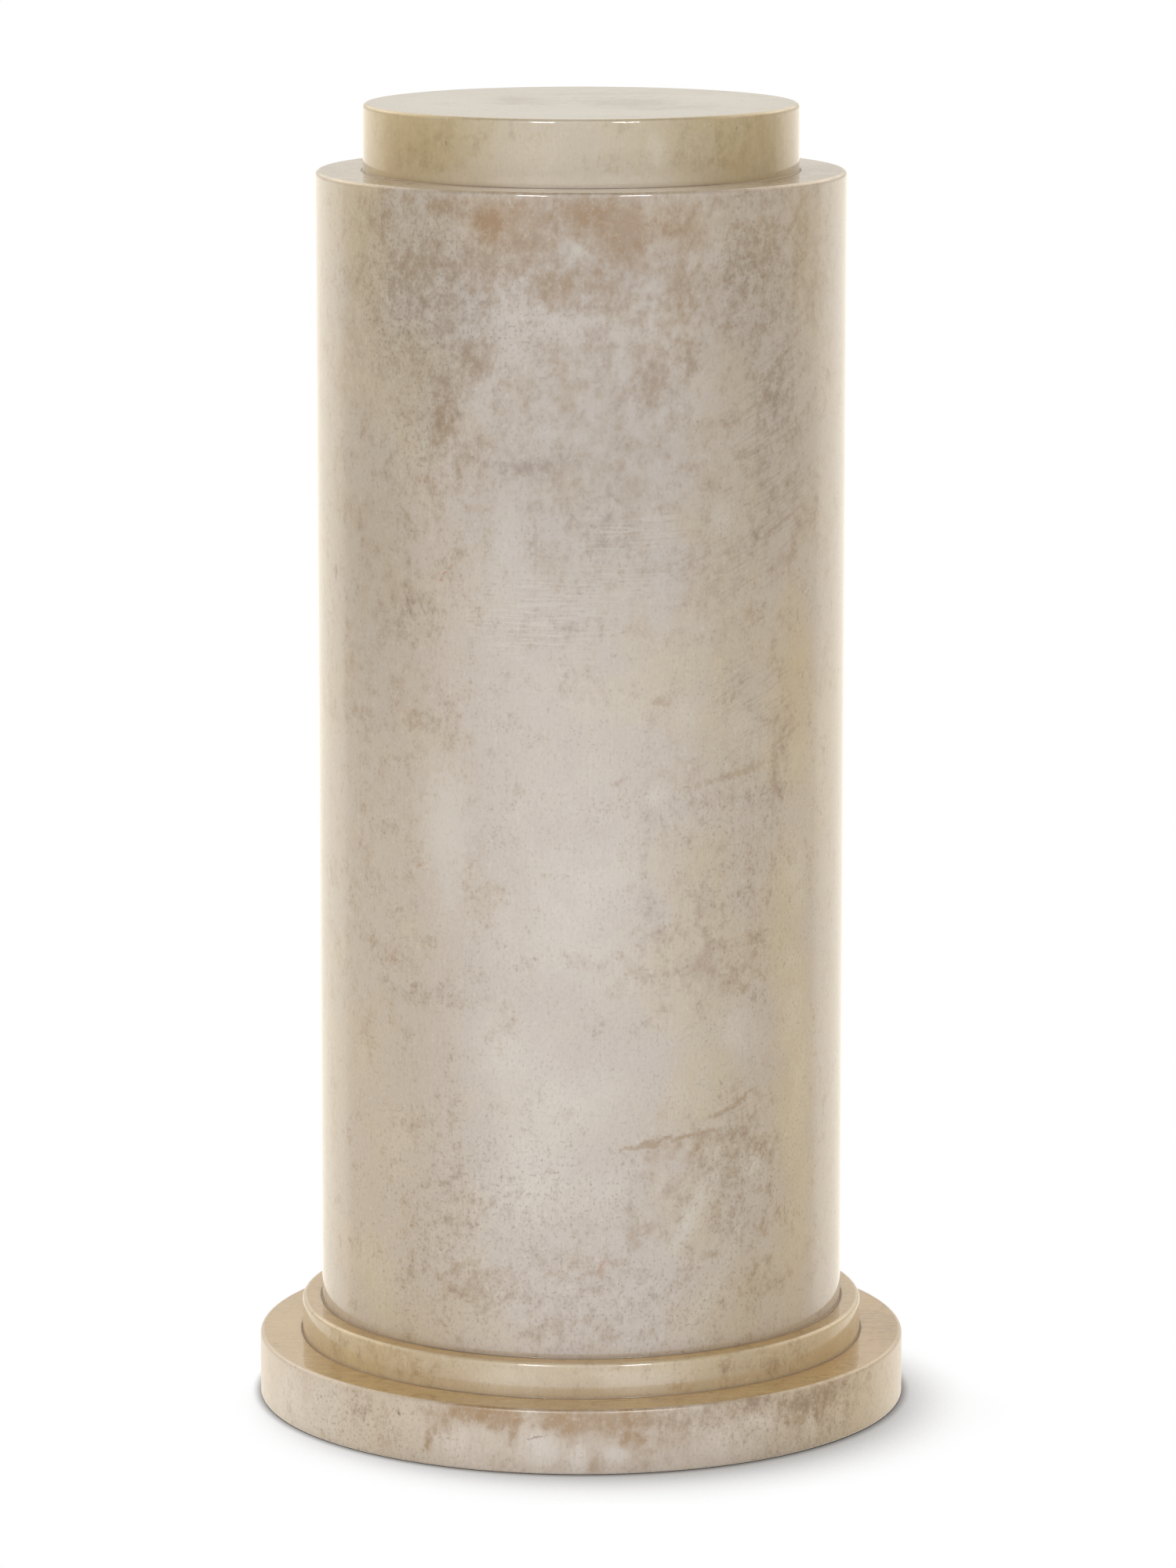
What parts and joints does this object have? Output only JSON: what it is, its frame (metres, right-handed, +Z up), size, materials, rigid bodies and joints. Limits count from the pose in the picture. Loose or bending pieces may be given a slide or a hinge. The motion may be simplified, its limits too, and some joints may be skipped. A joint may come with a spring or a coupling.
{
  "type": "pedestal column",
  "caption": "Round stepped pedestal column: a plain cylindrical shaft on a two-tier round base, with a smaller round cap, covered in lacquered goatskin.",
  "frame": {"origin": "centre of the plinth's underside, on the floor", "axes": "+Z up along the column's axis, -Y the front as pictured, +X to the right seen from the front"},
  "size_m": [0.456, 0.456, 0.9139],
  "materials": {
    "plinth_skin": "gloss lacquer over mottled cream goatskin",
    "base_step_skin": "gloss lacquer over honey cream goatskin",
    "shaft_skin": "gloss lacquer over mottled cream goatskin",
    "cap_skin": "gloss lacquer over honey cream goatskin"
  },
  "bodies": {
    "root": {"plinth": "plinth_skin", "base_step": "base_step_skin", "shaft": "shaft_skin", "cap": "cap_skin"}
  },
  "joints": []
}
